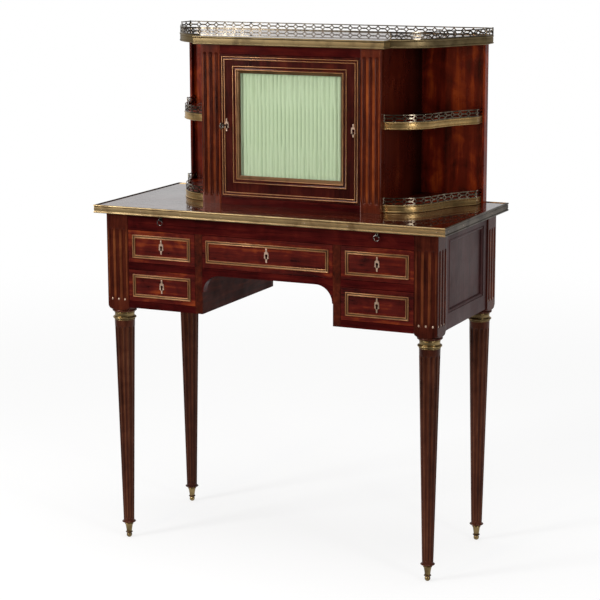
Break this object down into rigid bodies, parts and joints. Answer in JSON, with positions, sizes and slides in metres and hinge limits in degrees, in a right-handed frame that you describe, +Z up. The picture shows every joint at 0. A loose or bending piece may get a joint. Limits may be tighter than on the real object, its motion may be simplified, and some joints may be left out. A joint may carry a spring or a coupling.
{
  "type": "writing desk with cabinet",
  "caption": "Small kneehole writing desk on fluted tapering legs, with drawers, a pull-out slide and a silk-panelled cabinet between open serpentine shelves with brass galleries.",
  "frame": {"origin": "on the floor, at the centre of the desk's footprint", "axes": "+Z up, -Y towards the sitter (the front), +X to the right as seen from the front"},
  "size_m": [0.816, 0.39, 1.1375],
  "materials": {
    "mahogany": "french polished",
    "polished_top": "high gloss french polish",
    "carcass_wood": "satin",
    "brass": "aged polished",
    "key_metal": "aged",
    "steel": "satin",
    "glass": "clear",
    "silk": "pleated",
    "leather": "satin"
  },
  "bodies": {
    "case": {"apron": "mahogany", "cabinet_back": "carcass_wood", "cabinet_base": "mahogany", "cabinet_shelf": "mahogany", "cabinet_side_left": "mahogany", "cabinet_side_right": "mahogany", "cabinet_stile_left": "mahogany", "cabinet_stile_right": "mahogany", "cabinet_top": "mahogany", "cabinet_top_rail": "mahogany", "case_back": "carcass_wood", "desk_edge_band": "brass", "desk_top": "polished_top", "door_pivots": "steel", "drawer_runners": "carcass_wood", "dust_boards": "carcass_wood", "leg_back_left": "mahogany", "leg_back_right": "mahogany", "leg_collars": "brass", "leg_front_left": "mahogany", "leg_front_right": "mahogany", "leg_sabots": "brass", "lower_shelf_left": "mahogany", "lower_shelf_right": "mahogany", "middle_shelf_left": "mahogany", "middle_shelf_right": "mahogany", "pedestal_bottoms": "carcass_wood", "pedestal_side_left": "mahogany", "pedestal_side_right": "mahogany", "shelf_galleries_left": "brass", "shelf_galleries_right": "brass", "side_panel_left": "mahogany", "side_panel_right": "mahogany", "slide_rail": "mahogany", "top_band": "brass", "top_gallery_back": "brass", "top_gallery_left": "brass", "top_gallery_right": "brass"},
    "slide": {"writing_slide": "mahogany", "slide_leather": "leather", "slide_studs": "brass"},
    "ring_left": {"pull_ring_left": "brass"},
    "ring_right": {"pull_ring_right": "brass"},
    "drawer_upper_left": {"drawer_upper_left": "mahogany", "drawer_upper_left_brasses": "brass"},
    "drawer_lower_left": {"drawer_lower_left": "mahogany", "drawer_lower_left_brasses": "brass"},
    "drawer_upper_right": {"drawer_upper_right": "mahogany", "drawer_upper_right_brasses": "brass"},
    "drawer_lower_right": {"drawer_lower_right": "mahogany", "drawer_lower_right_brasses": "brass"},
    "drawer_middle": {"drawer_middle": "mahogany", "drawer_middle_brasses": "brass"},
    "door": {"door_frame": "mahogany", "door_mouldings": "brass", "door_glass": "glass", "door_silk": "silk", "door_escutcheons": "brass", "door_lock": "key_metal"},
    "key": {"door_key": "key_metal"}
  },
  "joints": [
    {"name": "writing_slide_run", "type": "slide", "parent": "case", "child": "slide", "axis": [0, -1, 0], "range_m": [0, 0.18]},
    {"name": "ring_left_swing", "type": "hinge", "parent": "slide", "child": "ring_left", "pos_m": [-0.252, -0.1805, 0.734], "axis": [-1, 0, 0], "range_deg": [-15, 105]},
    {"name": "ring_right_swing", "type": "hinge", "parent": "slide", "child": "ring_right", "pos_m": [0.252, -0.1805, 0.734], "axis": [-1, 0, 0], "range_deg": [-15, 105]},
    {"name": "drawer_upper_left_run", "type": "slide", "parent": "case", "child": "drawer_upper_left", "axis": [0, -1, 0], "range_m": [0, 0.22]},
    {"name": "drawer_lower_left_run", "type": "slide", "parent": "case", "child": "drawer_lower_left", "axis": [0, -1, 0], "range_m": [0, 0.22]},
    {"name": "drawer_upper_right_run", "type": "slide", "parent": "case", "child": "drawer_upper_right", "axis": [0, -1, 0], "range_m": [0, 0.22]},
    {"name": "drawer_lower_right_run", "type": "slide", "parent": "case", "child": "drawer_lower_right", "axis": [0, -1, 0], "range_m": [0, 0.22]},
    {"name": "drawer_middle_run", "type": "slide", "parent": "case", "child": "drawer_middle", "axis": [0, -1, 0], "range_m": [0, 0.22]},
    {"name": "door_hinge", "type": "hinge", "parent": "case", "child": "door", "pos_m": [0.155, -0.056, 0.92875], "axis": [0, 0, 1], "range_deg": [0, 105]},
    {"name": "key_turn", "type": "hinge", "parent": "door", "child": "key", "pos_m": [-0.149, -0.06, 0.9313], "axis": [0, 1, 0], "range_deg": [0, 90]}
  ]
}
